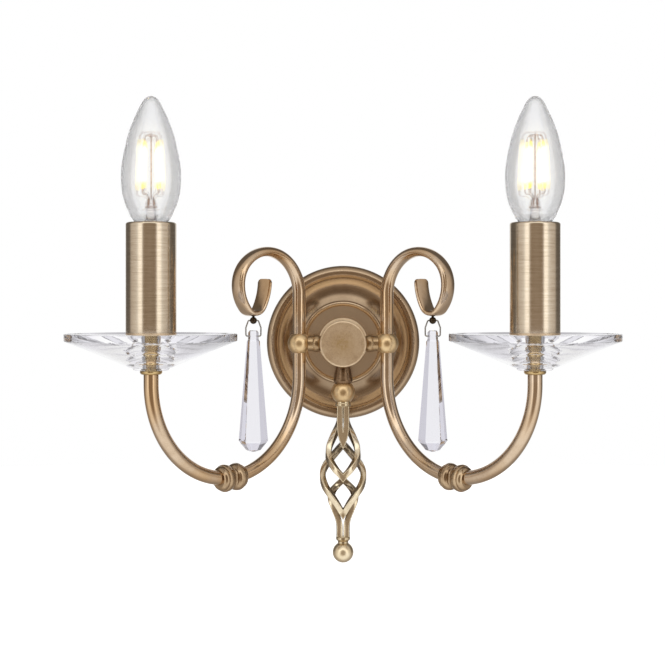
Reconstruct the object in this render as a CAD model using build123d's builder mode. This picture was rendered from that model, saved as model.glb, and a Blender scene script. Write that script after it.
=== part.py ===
from build123d import *
import math
import os

os.makedirs("parts", exist_ok=True)

# ---------------------------------------------------------------- dimensions (mm)
# frame: origin at the wall, at the centre of the plate's back; the light stands out along -Y
plate_r = 51.0              # wall plate radius
plate_wall = 1.2            # sheet thickness of the plate
plate_depth = 14.0          # front of the plate's flat centre
bracket_t = 1.5             # wall bracket strap thickness
slot_spacing = 70.0         # wall screw spacing
slot_w, slot_len = 4.5, 9.0
hub_r, hub_front = 14.0, 52.0
cap_r, cap_front = 15.0, 55.0
arm_y = -40.0               # distance of the arm balls from the wall
ball_x = -28.4              # left arm ball
ball_r = 7.5
arm_r_in = 4.25             # inner arm tube radius
arm_r_out = 4.45            # outer arm tube radius
bend_r = 60.2               # radius of the big arm bend
bend_z = -21.9              # height of the centre of the bend
knuckle_u = 58.7            # distance of the knuckle from the ball axis, along the arm
arm_top_z = -16.1           # upper end of the outer arm
dish_r = 51.0
dish_top_z = 8.0
dish_foot_z = -13.6
tube_r, tube_bore = 15.0, 13.8
tube_z0, tube_z1 = 8.6, 73.9
bulb_tip_z = 148.6
drop_ball_z = -31.6
cage_top_z, cage_bot_z = -40.6, -125.0
finial_z, finial_r = -135.3, 6.75
bar = 3.8                   # side of the square cage bars
wire_r = 0.85               # insulated wire radius
s2 = 1 / math.sqrt(2)

out_dir = Vector(-s2, -s2, 0)        # outward direction of the left arm
nrm_dir = Vector(s2, -s2, 0)         # normal of the left arm's plane


def arm_pt(u, z, n=0.0):
    """point in the left arm's plane: u outward from the ball axis, z up, n off the plane"""
    return Vector(ball_x, arm_y, 0) + out_dir * u + nrm_dir * n + Vector(0, 0, z)


arm_plane = Plane(origin=arm_pt(0, 0), x_dir=out_dir, z_dir=out_dir.cross(Vector(0, 0, 1)))
cx, cy = arm_pt(2 * bend_r, 0).X, arm_pt(2 * bend_r, 0).Y     # candle axis
hook_u = 39.7
hx, hy = arm_pt(hook_u, 0).X, arm_pt(hook_u, 0).Y             # crystal axis
hook_z, pin_z = 15.2, 5.3


def bend_pt(a):
    """point of the big bend at angle a degrees (180 = ball side, 270 = bottom, 360 = candle side)"""
    r = math.radians(a)
    return arm_pt(bend_r + bend_r * math.cos(r), bend_z + bend_r * math.sin(r))


knuckle_a = 270 - math.degrees(math.asin((bend_r - knuckle_u) / bend_r))
sock = math.degrees(2.0 / bend_r)        # each tube ends 2 mm from the knuckle's centre


def ring_pts(w, t, e, n=20):
    """closed outline between an ellipse (e=2) and a rounded strip (e>2), w wide and t thick"""
    pts = []
    for i in range(n):
        a = 2 * math.pi * i / n
        c, s = math.cos(a), math.sin(a)
        pts.append((w / 2 * math.copysign(abs(c) ** (2 / e), c), t / 2 * math.copysign(abs(s) ** (2 / e), s)))
    return pts


# ---------------------------------------------------------------- wall bracket
with BuildPart() as wall_bracket:
    with BuildSketch(Plane.XZ):
        Rectangle(94, 20)
        with Locations((0, -16)):
            Rectangle(20, 20)
        with Locations((-slot_spacing / 2, 0), (slot_spacing / 2, 0)):
            SlotOverall(slot_len, slot_w, mode=Mode.SUBTRACT)
        with Locations((0, -18)):
            Circle(1.65, mode=Mode.SUBTRACT)
    extrude(amount=bracket_t)
    with BuildSketch(Plane.XZ.offset(0)):
        with Locations((-46.25, 0), (46.25, 0)):
            Rectangle(1.5, 12)
    extrude(amount=6.2)
    with BuildSketch(Plane.XZ.offset(-1)):
        with Locations((-46.9, 9.0), (46.9, 9.0), (-46.9, -9.0), (46.9, -9.0)):
            Rectangle(1.4, 6.2)
    extrude(amount=4, mode=Mode.SUBTRACT)
    with BuildSketch(Plane.YZ.offset(-60)):
        with Locations((-3.6, 0)):
            Circle(1.3)
    extrude(amount=120, mode=Mode.SUBTRACT)
wall_bracket.part.label = "wall_bracket"

with BuildPart() as side_screws:
    with BuildSketch(Plane.XY):
        Polygon((-50.95, 0), (-50.95, 2.6), (-49.75, 1.45), (-49.75, 1.25), (-44.6, 1.25), (-44.6, 0), align=None)
    revolve(axis=Axis.X)
    with BuildSketch(Plane.YZ.offset(-51.2)):
        Rectangle(3.4, 0.6)
        Rectangle(0.6, 3.4)
    extrude(amount=0.9, mode=Mode.SUBTRACT)
    mirror(about=Plane.YZ)
side_screws.part = Pos(0, -3.6, 0) * side_screws.part
side_screws.part.label = "side_screws"

# ---------------------------------------------------------------- wall plate (turned profile, revolved about Y)
t = plate_wall
with BuildPart() as wall_plate:
    with BuildSketch(Plane.XY):
        with BuildLine():
            Polyline((5.05, -14), (24.2, -14), (24.8, -14.9))
            ThreePointArc((24.8, -14.9), (26.1, -15.4), (27.4, -14.4))
            Line((27.4, -14.4), (27.8, -12.4))
            ThreePointArc((27.8, -12.4), (31.8, -10.7), (36.0, -9.9))
            ThreePointArc((36.0, -9.9), (40.4, -10.9), (43.4, -13.2))
            ThreePointArc((43.4, -13.2), (46.9, -14.3), (49.9, -12.4))
            ThreePointArc((49.9, -12.4), (50.8, -10.9), (51.0, -9.2))
            Polyline((51.0, -9.2), (51.0, 0), (51.0 - t, 0), (51.0 - t, -9.2))
            ThreePointArc((51.0 - t, -9.2), (49.6, -10.5), (48.9, -11.6))
            ThreePointArc((48.9, -11.6), (46.8, -13.0), (44.1, -12.2))
            ThreePointArc((44.1, -12.2), (40.9, -9.8), (36.1, -8.7))
            ThreePointArc((36.1, -8.7), (31.6, -9.5), (27.3, -11.2))
            Polyline((27.3, -11.2), (26.6, -12.8), (5.05, -12.8), (5.05, -14))
        make_face()
    revolve(axis=Axis.Y)
    with BuildSketch(Plane.YZ.offset(-55)):
        with Locations((-3.6, 0)):
            Circle(1.6)
    extrude(amount=110, mode=Mode.SUBTRACT)
    for sgn in (-1, 1):
        with BuildSketch(Plane(origin=(0, -3.6, 0), x_dir=(1, 0, 0), z_dir=(0, 0, 1))):
            Polygon((sgn * 51.4, 0), (sgn * 51.4, 3.1), (sgn * 49.6, 1.35), (sgn * 49.6, 0), align=None)
        revolve(axis=Axis((0, -3.6, 0), (1, 0, 0)), mode=Mode.SUBTRACT)
wall_plate.part.label = "wall_plate"

# ---------------------------------------------------------------- hub
with BuildPart() as hub_nipple:
    with BuildSketch(Plane.XZ.offset(7.0)):
        Circle(4.97)
        Circle(4.0, mode=Mode.SUBTRACT)
    extrude(amount=13.5)
hub_nipple.part.label = "hub_nipple"

with BuildPart() as hub_nut:
    with BuildSketch(Plane.XZ.offset(9.3)):
        RegularPolygon(7.0, 6, major_radius=False)
        Circle(5.03, mode=Mode.SUBTRACT)
    extrude(amount=3.45)
hub_nut.part.label = "hub_nut"

with BuildPart() as hub_body:
    with BuildSketch(Plane.XY):
        with BuildLine():
            Polyline((5.03, -14.02), (16.2, -14.02), (16.2, -15.4), (14.0, -17.2), (14.0, -52), (11.5, -52),
                     (11.5, -17.5), (5.03, -17.5), (5.03, -14.02))
        make_face()
    revolve(axis=Axis.Y)
    with BuildSketch(Plane.YZ.offset(-15)):
        with Locations((arm_y, 0)):
            Circle(3.03)
    extrude(amount=30, mode=Mode.SUBTRACT)
    with BuildSketch(Plane.XY.offset(-15)):
        with Locations((0, arm_y)):
            Circle(2.53)
    extrude(amount=10, mode=Mode.SUBTRACT)
hub_body.part.label = "hub_body"

with BuildPart() as hub_cap:
    with BuildSketch(Plane.XZ.offset(52.02)):
        Circle(cap_r)
    extrude(amount=cap_front - 52.02)
    fillet(hub_cap.edges().filter_by(GeomType.CIRCLE).sort_by(Axis.Y)[0], 1.3)
    with BuildSketch(Plane.XZ.offset(48)):
        Circle(11.45)
        Circle(9.6, mode=Mode.SUBTRACT)
    extrude(amount=4.02)
hub_cap.part.label = "hub_cap"

with BuildPart() as arm_nipples:
    with BuildSketch(Plane.YZ.offset(-24.05)):
        with Locations((arm_y, 0)):
            Circle(3.0)
            Circle(2.25, mode=Mode.SUBTRACT)
    extrude(amount=14.2)
    mirror(about=Plane.YZ)
arm_nipples.part.label = "arm_nipples"

with BuildPart() as arm_collars:
    with BuildSketch(Plane(origin=(0, arm_y, 0), x_dir=(1, 0, 0), z_dir=(0, 0, 1))):
        with BuildLine():
            ThreePointArc((-21.526, 3.05), (-22.032, 4.0), (-22.696, 4.9))
            ThreePointArc((-22.696, 4.9), (-21.0, 5.0), (-19.6, 5.15))
            ThreePointArc((-19.6, 5.15), (-17.3, 5.8), (-15.0, 5.1))
            Polyline((-15.0, 5.1), (-14.2, 4.6), (-12.0, 4.6), (-12.0, 3.05), (-21.526, 3.05))
        make_face()
    revolve(axis=Axis((0, arm_y, 0), (1, 0, 0)))
    with Locations((0, -34, 0)):
        Cylinder(hub_r + 0.02, 40, rotation=(90, 0, 0), mode=Mode.SUBTRACT)
    mirror(about=Plane.YZ)
arm_collars.part.label = "arm_collars"

# ---------------------------------------------------------------- arm ball, drilled for the arm and the nipple
with BuildPart() as arm_ball_left:
    with Locations((ball_x, arm_y, 0)):
        Sphere(ball_r)
        Cylinder(arm_r_in + 0.03, 20, mode=Mode.SUBTRACT)
    with BuildSketch(Plane.YZ.offset(ball_x)):
        with Locations((arm_y, 0)):
            Circle(3.03)
    extrude(amount=10, mode=Mode.SUBTRACT)
arm_ball_left.part.label = "arm_ball_left"

# ---------------------------------------------------------------- inner arm: tube, then a scroll pressed flatter towards its tip
with BuildPart() as inner_arm_left:
    with BuildLine() as inner_path:
        ThreePointArc(bend_pt(knuckle_a - sock), bend_pt(225), bend_pt(180))
        Line(bend_pt(180), arm_pt(0, 6.0))
    with BuildSketch(Plane(origin=inner_path.line @ 0, z_dir=inner_path.line % 0)):
        Circle(arm_r_in)
    sweep()
    # wire bore up to the ball, and the hole towards the hub
    with BuildLine() as inner_bore:
        ThreePointArc(bend_pt(knuckle_a - sock), bend_pt(225), bend_pt(180))
        Line(bend_pt(180), arm_pt(0, 3.0))
    with BuildSketch(Plane(origin=inner_bore.line @ 0, z_dir=inner_bore.line % 0)):
        Circle(3.25)
    sweep(mode=Mode.SUBTRACT)
    with BuildSketch(Plane.YZ.offset(ball_x)):
        with Locations((arm_y, 0)):
            Circle(2.4)
    extrude(amount=8, mode=Mode.SUBTRACT)
    with BuildLine(mode=Mode.PRIVATE) as scroll:
        a1 = Line(arm_pt(0, 6.0), arm_pt(0, 30.8))
        a2 = ThreePointArc(arm_pt(0, 30.8), arm_pt(28 - 28 * s2, 30.8 + 28 * s2), arm_pt(28, 58.8))
        a3 = ThreePointArc(arm_pt(28, 58.8), arm_pt(28 + 26.18 * math.sin(math.radians(22.5)), 58.8 - 26.18 * (1 - math.cos(math.radians(22.5)))),
                           arm_pt(28 + 26.18 * s2, 58.8 - 26.18 * (1 - s2)))
        c4u, c4z = 52.2 - 19.42, 37.4
        a4 = ThreePointArc(arm_pt(28 + 26.18 * s2, 58.8 - 26.18 * (1 - s2)),
                           arm_pt(c4u + 19.42 * math.cos(math.radians(22.5)), c4z + 19.42 * math.sin(math.radians(22.5))), arm_pt(52.2, 37.4))
        c5u = 52.2 - 22.64
        a5 = ThreePointArc(arm_pt(52.2, 37.4), arm_pt(c5u + 22.64 * math.cos(math.radians(22.5)), 37.4 - 22.64 * math.sin(math.radians(22.5))),
                           arm_pt(c5u + 22.64 * s2, 37.4 - 22.64 * s2))
        a6 = ThreePointArc(arm_pt(c5u + 22.64 * s2, 37.4 - 22.64 * s2),
                           arm_pt(41 + 6.46 * math.sin(math.radians(22.5)), 19.5 + 6.46 * (1 - math.cos(math.radians(22.5)))), arm_pt(41, 19.5))
        a7 = ThreePointArc(arm_pt(41, 19.5), arm_pt(41 - 7.1 * math.sin(math.radians(30)), 19.5 + 7.1 * (1 - math.cos(math.radians(30)))),
                           arm_pt(41 - 7.1 * math.sin(math.radians(60)), 19.5 + 3.55))
        e7u, e7z = 41 - 7.1 * math.sin(math.radians(60)), 23.05
        c8u, c8z = e7u + 36.9 * math.cos(math.radians(30)), e7z + 36.9 * 0.5
        a8 = ThreePointArc(arm_pt(e7u, e7z), arm_pt(c8u - 36.9 * math.cos(math.radians(15)), c8z - 36.9 * math.sin(math.radians(15))),
                           arm_pt(c8u - 36.9, c8z))
        a9 = Line(a8 @ 1, a8 @ 1 + (a8 % 1) * 6)         # run-out, cut off below
    # stations: curve, position on it, thickness, width, squareness
    stations = [(a1, 0.0, 8.38, 8.38, 2.0), (a1, 0.5, 8.5, 8.5, 2.0), (a1, 0.97, 8.4, 8.55, 2.0), (a2, 0.33, 7.7, 8.95, 2.05), (a2, 0.66, 6.9, 9.4, 2.1),
                (a2, 1.0, 6.2, 9.8, 2.2), (a3, 0.5, 5.8, 10.1, 2.3), (a4, 0.2, 5.4, 10.3, 2.4), (a4, 0.6, 5.1, 10.5, 2.5),
                (a5, 0.0, 4.8, 10.7, 2.6), (a5, 0.5, 4.4, 10.9, 2.7), (a5, 1.0, 3.9, 11.2, 2.8), (a6, 0.5, 3.5, 11.4, 2.9),
                (a6, 1.0, 3.3, 11.6, 3.0), (a7, 0.35, 3.1, 11.8, 3.1), (a7, 0.7, 2.9, 12.0, 3.2), (a8, 0.0, 2.7, 12.2, 3.3),
                (a8, 0.35, 2.5, 12.4, 3.4), (a8, 0.7, 2.4, 12.5, 3.4), (a8, 1.0, 2.3, 12.5, 3.4), (a9, 1.0, 2.3, 12.5, 3.4)]
    curves = [a1, a2, a3, a4, a5, a6, a7, a8, a9]
    starts = [sum(c.length for c in curves[:i]) for i in range(len(curves))]
    total = sum(c.length for c in curves)
    table = [(starts[curves.index(crv)] + pos * crv.length, thick, wide, sq) for crv, pos, thick, wide, sq in stations]
    rings = 52                           # evenly spaced, so that the skin doesn't ripple
    for k in range(rings + 1):
        s = total * k / rings
        i = max(j for j in range(len(curves)) if starts[j] <= s + 1e-9)
        pos = min((s - starts[i]) / curves[i].length, 1.0)
        j = max(j for j in range(len(table) - 1) if table[j][0] <= s + 1e-9)
        w = min((s - table[j][0]) / (table[j + 1][0] - table[j][0]), 1.0)
        thick, wide, sq = (table[j][n] * (1 - w) + table[j + 1][n] * w for n in (1, 2, 3))
        with BuildSketch(Plane(origin=curves[i] @ pos, x_dir=nrm_dir, z_dir=curves[i] % pos)):
            with BuildLine():
                Spline(*[Vector(x, y) for x, y in ring_pts(wide, thick, sq)], periodic=True)
            make_face()
    loft()
    # rounded corners at the scroll's tip
    with BuildSketch(Plane(origin=a8 @ 1, x_dir=nrm_dir, z_dir=(a8 % 1).cross(nrm_dir))):
        with Locations((0, -3)):
            Rectangle(18, 15)
        with Locations((0, 10)):
            RectangleRounded(12.6, 20, 4.2, mode=Mode.SUBTRACT)
    extrude(amount=8, both=True, mode=Mode.SUBTRACT)
    with BuildSketch(Plane.XY.offset(hook_z)):
        with Locations((hx, hy)):
            Circle(0.85)
    extrude(amount=4.6, mode=Mode.SUBTRACT)
inner_arm_left.part.label = "inner_arm_left"

# ---------------------------------------------------------------- outer arm
with BuildPart() as outer_arm_left:
    with BuildLine() as outer_path:
        ThreePointArc(bend_pt(knuckle_a + sock), bend_pt(315), bend_pt(360))
        Line(bend_pt(360), arm_pt(2 * bend_r, arm_top_z))
    with BuildSketch(Plane(origin=outer_path.line @ 0, z_dir=outer_path.line % 0)):
        Circle(arm_r_out)
        Circle(3.45, mode=Mode.SUBTRACT)
    sweep()
outer_arm_left.part.label = "outer_arm_left"

# ---------------------------------------------------------------- knuckle that joins the two tubes
kc = bend_pt(knuckle_a)
k_dir = Vector(math.cos(math.radians(knuckle_a + 90)) * out_dir.X, math.cos(math.radians(knuckle_a + 90)) * out_dir.Y,
               math.sin(math.radians(knuckle_a + 90)))
with BuildPart() as knuckle_left:
    with BuildSketch(Plane(origin=kc, x_dir=k_dir, z_dir=nrm_dir)):
        with BuildLine():
            for sg in (-1, 1):
                ThreePointArc((0, 5.75), (sg * 0.8, 5.9), (sg * 1.3, 6.5))
                ThreePointArc((sg * 1.3, 6.5), (sg * 2.2, 7.75), (sg * 4.1, 8.45))
                ThreePointArc((sg * 4.1, 8.45), (sg * 5.3, 8.55), (sg * 6.4, 8.2))
                Line((sg * 6.4, 8.2), (sg * 6.6, 7.6))
                ThreePointArc((sg * 6.6, 7.6), (sg * 8.1, 7.4), (sg * 9.2, 6.4))
                Line((sg * 9.2, 6.4), (sg * 9.6, 5.6))
                Line((sg * 9.6, 5.6), (sg * 9.6, 0))
            Line((-9.6, 0), (9.6, 0))
        make_face()
    revolve(axis=Axis(kc, k_dir))
    for a0, a1_, rr in ((knuckle_a - 13, knuckle_a - sock, arm_r_in + 0.03), (knuckle_a + sock, knuckle_a + 13, arm_r_out + 0.03),
                        (knuckle_a - 3, knuckle_a + 3, 3.3)):
        with BuildLine() as bore_path:
            ThreePointArc(bend_pt(a0), bend_pt((a0 + a1_) / 2), bend_pt(a1_))
        with BuildSketch(Plane(origin=bore_path.line @ 0, z_dir=bore_path.line % 0)):
            Circle(rr)
        sweep(mode=Mode.SUBTRACT)
knuckle_left.part.label = "knuckle_left"


def at_candle(z):
    return Plane(origin=(cx, cy, z), x_dir=(1, 0, 0), z_dir=(0, 0, 1))


turn_plane = Plane(origin=(cx, cy, 0), x_dir=(1, 0, 0), z_dir=(0, -1, 0))   # sketch x = radius, y = height
candle_axis = Axis((cx, cy, 0), (0, 0, 1))

# ---------------------------------------------------------------- dish mounting
with BuildPart() as dish_washers:
    with BuildSketch(turn_plane):
        with BuildLine():
            Polyline((4.05, arm_top_z + 0.02), (5.6, arm_top_z + 0.02))
            ThreePointArc((5.6, arm_top_z + 0.02), (6.6, -14.8), (6.3, dish_foot_z - 0.02))
            Polyline((6.3, dish_foot_z - 0.02), (4.05, dish_foot_z - 0.02), (4.05, arm_top_z + 0.02))
        make_face()
    revolve(axis=candle_axis)
    mirror(about=Plane.YZ)
dish_washers.part.label = "dish_washers"

with BuildPart() as arm_end_nipples:
    with BuildSketch(turn_plane):
        Polygon((2.5, -21.7), (3.42, -21.7), (3.42, arm_top_z + 0.02), (4.0, arm_top_z + 0.02), (4.0, 22), (2.5, 22), align=None)
    revolve(axis=candle_axis)
    mirror(about=Plane.YZ)
arm_end_nipples.part.label = "arm_end_nipples"

with BuildPart() as dish_spacers:
    with BuildSketch(turn_plane):
        Polygon((4.05, -6.15), (5.3, -6.15), (5.3, -5.2), (4.75, -4.6), (4.75, 1.95), (4.05, 1.95), align=None)
    revolve(axis=candle_axis)
    mirror(about=Plane.YZ)
dish_spacers.part.label = "dish_spacers"

with BuildPart() as glass_dish_left:
    with BuildSketch(turn_plane):
        with BuildLine():
            Polyline((4.3, dish_foot_z), (10.0, dish_foot_z), (10.7, -12.9), (11.0, -12.3), (13.4, -11.6), (50.6, 3.6), (51.0, 4.0),
                     (51.0, 7.7), (50.7, 8.0), (50.2, 8.0), (12.4, -4.4), (11.6, -5.2), (11.4, -6.2), (4.3, -6.2), (4.3, dish_foot_z))
        make_face()
    revolve(axis=candle_axis)
glass_dish_left.part.label = "glass_dish_left"

# ---------------------------------------------------------------- lampholder
with BuildPart() as holder_base_left:
    with BuildSketch(turn_plane):
        Polygon((4.05, 2.0), (9.3, 2.0), (10.3, 3.0), (10.3, 7.2), (14.6, 7.2), (15.0, 7.6), (15.0, 8.55), (13.7, 8.55),
                (13.7, 11.5), (12.3, 11.5), (12.3, 9.2), (4.05, 9.2), align=None)
    revolve(axis=candle_axis)
holder_base_left.part.label = "holder_base_left"

with BuildPart() as lampholder_body_left:
    with BuildSketch(turn_plane):
        Polygon((4.05, 9.25), (11.8, 9.25), (12.0, 12), (12.0, 46), (10.8, 48.5), (10.8, 66), (10.3, 66.6), (7.62, 66.6),
                (7.62, 48.2), (4.9, 48.2), (4.9, 44), (9.8, 44), (9.8, 14.0), (4.05, 14.0), align=None)
    revolve(axis=candle_axis)
    with BuildSketch(at_candle(44)):
        Circle(5.5)
        with Locations((2.4 * s2, -2.4 * s2), (-2.4 * s2, 2.4 * s2)):
            Circle(1.2, mode=Mode.SUBTRACT)
    extrude(amount=4.2)
lampholder_body_left.part.label = "lampholder_body_left"

with BuildPart() as lampholder_shells:
    with BuildSketch(turn_plane):
        Polygon((7.15, 49.2), (7.58, 49.2), (7.58, 66.4), (7.15, 66.4), align=None)
    revolve(axis=candle_axis)
    mirror(about=Plane.YZ)
lampholder_shells.part.label = "lampholder_shells"

with BuildPart() as lampholder_contacts:
    with BuildSketch(turn_plane):
        Polygon((-5.0, 48.22), (5.0, 48.22), (5.0, 48.7), (3.4, 48.7), (1.4, 50.35), (-1.4, 50.35), (-3.4, 48.7), (-5.0, 48.7), align=None)
    extrude(amount=1.8, both=True)
    mirror(about=Plane.YZ)
lampholder_contacts.part.label = "lampholder_contacts"

with BuildPart() as candle_tube_left:
    with BuildSketch(turn_plane):
        with BuildLine():
            Polyline((tube_bore, tube_z0), (tube_r, tube_z0), (tube_r, tube_z1 - 1.4))
            ThreePointArc((tube_r, tube_z1 - 1.4), (tube_r - 0.41, tube_z1 - 0.41), (tube_r - 1.4, tube_z1))
            Polyline((tube_r - 1.4, tube_z1), (12.6, tube_z1), (12.6, tube_z1 - 1.2), (tube_bore, tube_z1 - 1.2), (tube_bore, tube_z0))
        make_face()
    revolve(axis=candle_axis)
candle_tube_left.part.label = "candle_tube_left"

# ---------------------------------------------------------------- candle bulb
bulb_outline = [(7.75, 70.0), (8.3, 72.0), (10.3, 74.7), (11.9, 76.9), (13.3, 80.0), (14.95, 83.6), (16.05, 87.1), (16.95, 90.7), (17.4, 94.2),
                (17.62, 97.8), (17.68, 101.3), (17.55, 104.87), (17.2, 108.4), (16.6, 111.97), (15.95, 115.5), (15.1, 119.06),
                (14.35, 122.6), (13.35, 126.16), (12.2, 129.7), (10.8, 133.26), (9.35, 136.8), (7.6, 140.36), (5.9, 143.9),
                (4.1, 146.6), (2.2, 148.1), (0, 148.6)]
bulb_inner = [(0, 147.5), (2.0, 147.0), (3.6, 145.6), (5.2, 143.2), (6.9, 139.8), (8.6, 136.2), (10.1, 132.7), (11.5, 129.2), (12.6, 125.8),
              (13.6, 122.3), (14.35, 118.8), (15.2, 115.2), (15.85, 111.8), (16.45, 108.2), (16.8, 104.8), (16.92, 101.3), (16.86, 97.8),
              (16.65, 94.3), (16.2, 91.0), (15.3, 87.5), (14.2, 84.1), (12.6, 80.6), (11.2, 77.6), (9.6, 75.3), (7.6, 72.6), (7.05, 70.0)]
with BuildPart() as bulb_glass_left:
    with BuildSketch(turn_plane):
        with BuildLine():
            Spline(*bulb_outline)
            Line(bulb_outline[-1], bulb_inner[0])
            Spline(*bulb_inner)
            Line(bulb_inner[-1], bulb_outline[0])
        make_face()
    revolve(axis=candle_axis)
bulb_glass_left.part.label = "bulb_glass_left"

with BuildPart() as bulb_cap_left:
    with BuildSketch(turn_plane):
        with BuildLine():
            pts = [(5.1, 53.0), (6.3, 54.6)]
            for k in range(5):
                z = 55.3 + 2.4 * k
                pts += [(6.35, z), (6.9, z + 0.7), (6.9, z + 1.3), (6.35, z + 2.0)]
            pts += [(6.45, 68.0), (7.6, 69.0), (8.9, 70.8), (9.0, 71.6), (8.45, 71.6), (8.15, 70.4), (7.9, 69.75), (7.0, 69.55), (6.0, 67.6),
                    (5.85, 55.0), (5.1, 54.2), (5.1, 53.0)]
            Polyline(*pts)
        make_face()
    revolve(axis=candle_axis)
bulb_cap_left.part.label = "bulb_cap_left"

with BuildPart() as bulb_contact_left:
    with BuildSketch(turn_plane):
        with BuildLine():
            Polyline((0, 54.0), (0, 50.6))
            ThreePointArc((0, 50.6), (1.6, 50.95), (2.4, 51.9))
            Polyline((2.4, 51.9), (3.4, 52.0), (4.9, 52.85), (4.9, 54.0), (0, 54.0))
        make_face()
    revolve(axis=candle_axis)
bulb_contact_left.part.label = "bulb_contact_left"

with BuildPart() as bulb_stem_left:
    with BuildSketch(turn_plane):
        with BuildLine():
            Polyline((0, 88.5), (0, 70.2), (6.6, 70.2))
            ThreePointArc((6.6, 70.2), (4.3, 73.6), (2.9, 78.0))
            Polyline((2.9, 78.0), (2.6, 86.6), (1.8, 88.3), (0, 88.5))
        make_face()
    revolve(axis=candle_axis)
bulb_stem_left.part.label = "bulb_stem_left"

fil_r = 4.9
with BuildPart() as bulb_filaments_left:
    for k in range(4):
        a = math.radians(45 + 90 * k + 12)
        p0 = Vector(cx + fil_r * math.cos(a), cy + fil_r * math.sin(a), 93.5)
        p1 = Vector(cx + (fil_r - 1.2) * math.cos(a), cy + (fil_r - 1.2) * math.sin(a), 122.0)
        with BuildSketch(Plane(origin=p0, z_dir=p1 - p0)):
            Circle(0.85)
        extrude(amount=(p1 - p0).length)
    with BuildSketch(Plane(origin=(cx, cy, 122.05), z_dir=(0, 0, 1))):
        Circle(5.0)
        Circle(2.6, mode=Mode.SUBTRACT)
    extrude(amount=0.6)
    with BuildSketch(Plane(origin=(cx, cy, 92.8), z_dir=(0, 0, 1))):
        Circle(6.0)
        Circle(3.6, mode=Mode.SUBTRACT)
    extrude(amount=0.7)
    with Locations((cx, cy, 90.9)):
        Cylinder(0.4, 4.6)
        Box(8.6, 0.7, 0.7)
    with Locations((cx + 4.3, cy, 91.9), (cx - 4.3, cy, 91.9)):
        Box(0.7, 0.7, 2.6)
bulb_filaments_left.part.label = "bulb_filaments_left"

# ---------------------------------------------------------------- crystal hook, bow and drop
with BuildPart() as drop_hooks:
    with Locations((hx, hy, hook_z)):
        Sphere(2.25)
    with BuildSketch(Plane.XY.offset(hook_z + 1.0)):
        with Locations((hx, hy)):
            Circle(0.82)
    extrude(amount=3.5)
    with BuildSketch(Plane.YZ.offset(hx - 4)):
        with Locations((hy, hook_z)):
            Circle(0.52)
    extrude(amount=8, mode=Mode.SUBTRACT)
    mirror(about=Plane.YZ)
drop_hooks.part.label = "drop_hooks"

with BuildPart() as drop_bow_left:
    with BuildLine() as bow_path:
        FilletPolyline((hx - 1.9, hy, pin_z), (hx - 4.7, hy, pin_z), (hx - 4.75, hy, 10.6), (hx - 3.1, hy, hook_z),
                       (hx + 3.1, hy, hook_z), (hx + 4.75, hy, 10.6), (hx + 4.7, hy, pin_z), (hx + 1.9, hy, pin_z), radius=1.1)
    with BuildSketch(Plane(origin=bow_path.line @ 0, z_dir=bow_path.line % 0)):
        Circle(0.45)
    sweep()
drop_bow_left.part.label = "drop_bow_left"


def hexa(w, d, c):
    """flattened hexagon, w wide, d deep, with front and back facets 2c wide"""
    return [(-w / 2, 0), (-c, -d / 2), (c, -d / 2), (w / 2, 0), (c, d / 2), (-c, d / 2)]


with BuildPart() as crystal_drop_left:
    for z0, z1, h0, h1 in ((8.9, 7.6, (4.6, 3.0, 1.5), (6.6, 4.6, 2.0)), (7.6, 3.2, (6.6, 4.6, 2.0), (6.6, 4.6, 2.0)),
                           (3.2, 2.0, (6.6, 4.6, 2.0), (8.2, 5.4, 2.1)), (2.0, -60.5, (8.2, 5.4, 2.1), (18.4, 10.6, 4.95)),
                           (-60.5, -66.4, (18.4, 10.6, 4.95), (9.0, 4.6, 2.6)), (-66.4, -67.4, (9.0, 4.6, 2.6), (2.4, 1.2, 0.7))):
        with BuildSketch(Plane(origin=(hx, hy, z0), x_dir=(1, 0, 0), z_dir=(0, 0, 1))):
            Polygon(*hexa(*h0), align=None)
        with BuildSketch(Plane(origin=(hx, hy, z1), x_dir=(1, 0, 0), z_dir=(0, 0, 1))):
            Polygon(*hexa(*h1), align=None)
        loft(ruled=True)
    with BuildSketch(Plane.YZ.offset(hx + 1.7)):
        with Locations((hy, pin_z)):
            Circle(0.52)
    extrude(amount=4, mode=Mode.SUBTRACT)
    with BuildSketch(Plane.YZ.offset(hx - 1.7)):
        with Locations((hy, pin_z)):
            Circle(0.52)
    extrude(amount=-4, mode=Mode.SUBTRACT)
crystal_drop_left.part.label = "crystal_drop_left"

# ---------------------------------------------------------------- drop under the hub
with BuildPart() as drop_stub:
    with BuildSketch(Plane(origin=(0, arm_y, 0), x_dir=(1, 0, 0), z_dir=(0, -1, 0))):
        Polygon((2.55, -11), (4.4, -11), (4.4, -14.0), (6.3, -23.2), (6.3, -24.2), (4.6, -27.0), (2.55, -27.0), align=None)
    revolve(axis=Axis((0, arm_y, 0), (0, 0, 1)))
    with Locations((0, -34, 0)):
        Cylinder(hub_r + 0.02, 40, rotation=(90, 0, 0), mode=Mode.SUBTRACT)
    with Locations((0, arm_y, drop_ball_z)):
        Sphere(ball_r + 0.22, mode=Mode.SUBTRACT)
drop_stub.part.label = "drop_stub"

with BuildPart() as drop_stud:
    with BuildSketch(Plane.XY.offset(-39.6)):
        with Locations((0, arm_y)):
            Circle(2.5)
    extrude(amount=39.6 - 10.4)
drop_stud.part.label = "drop_stud"

with BuildPart() as drop_ball:
    with Locations((0, arm_y, drop_ball_z)):
        Sphere(ball_r + 0.2)
        Cylinder(2.53, 20, mode=Mode.SUBTRACT)
drop_ball.part.label = "drop_ball"

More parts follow.
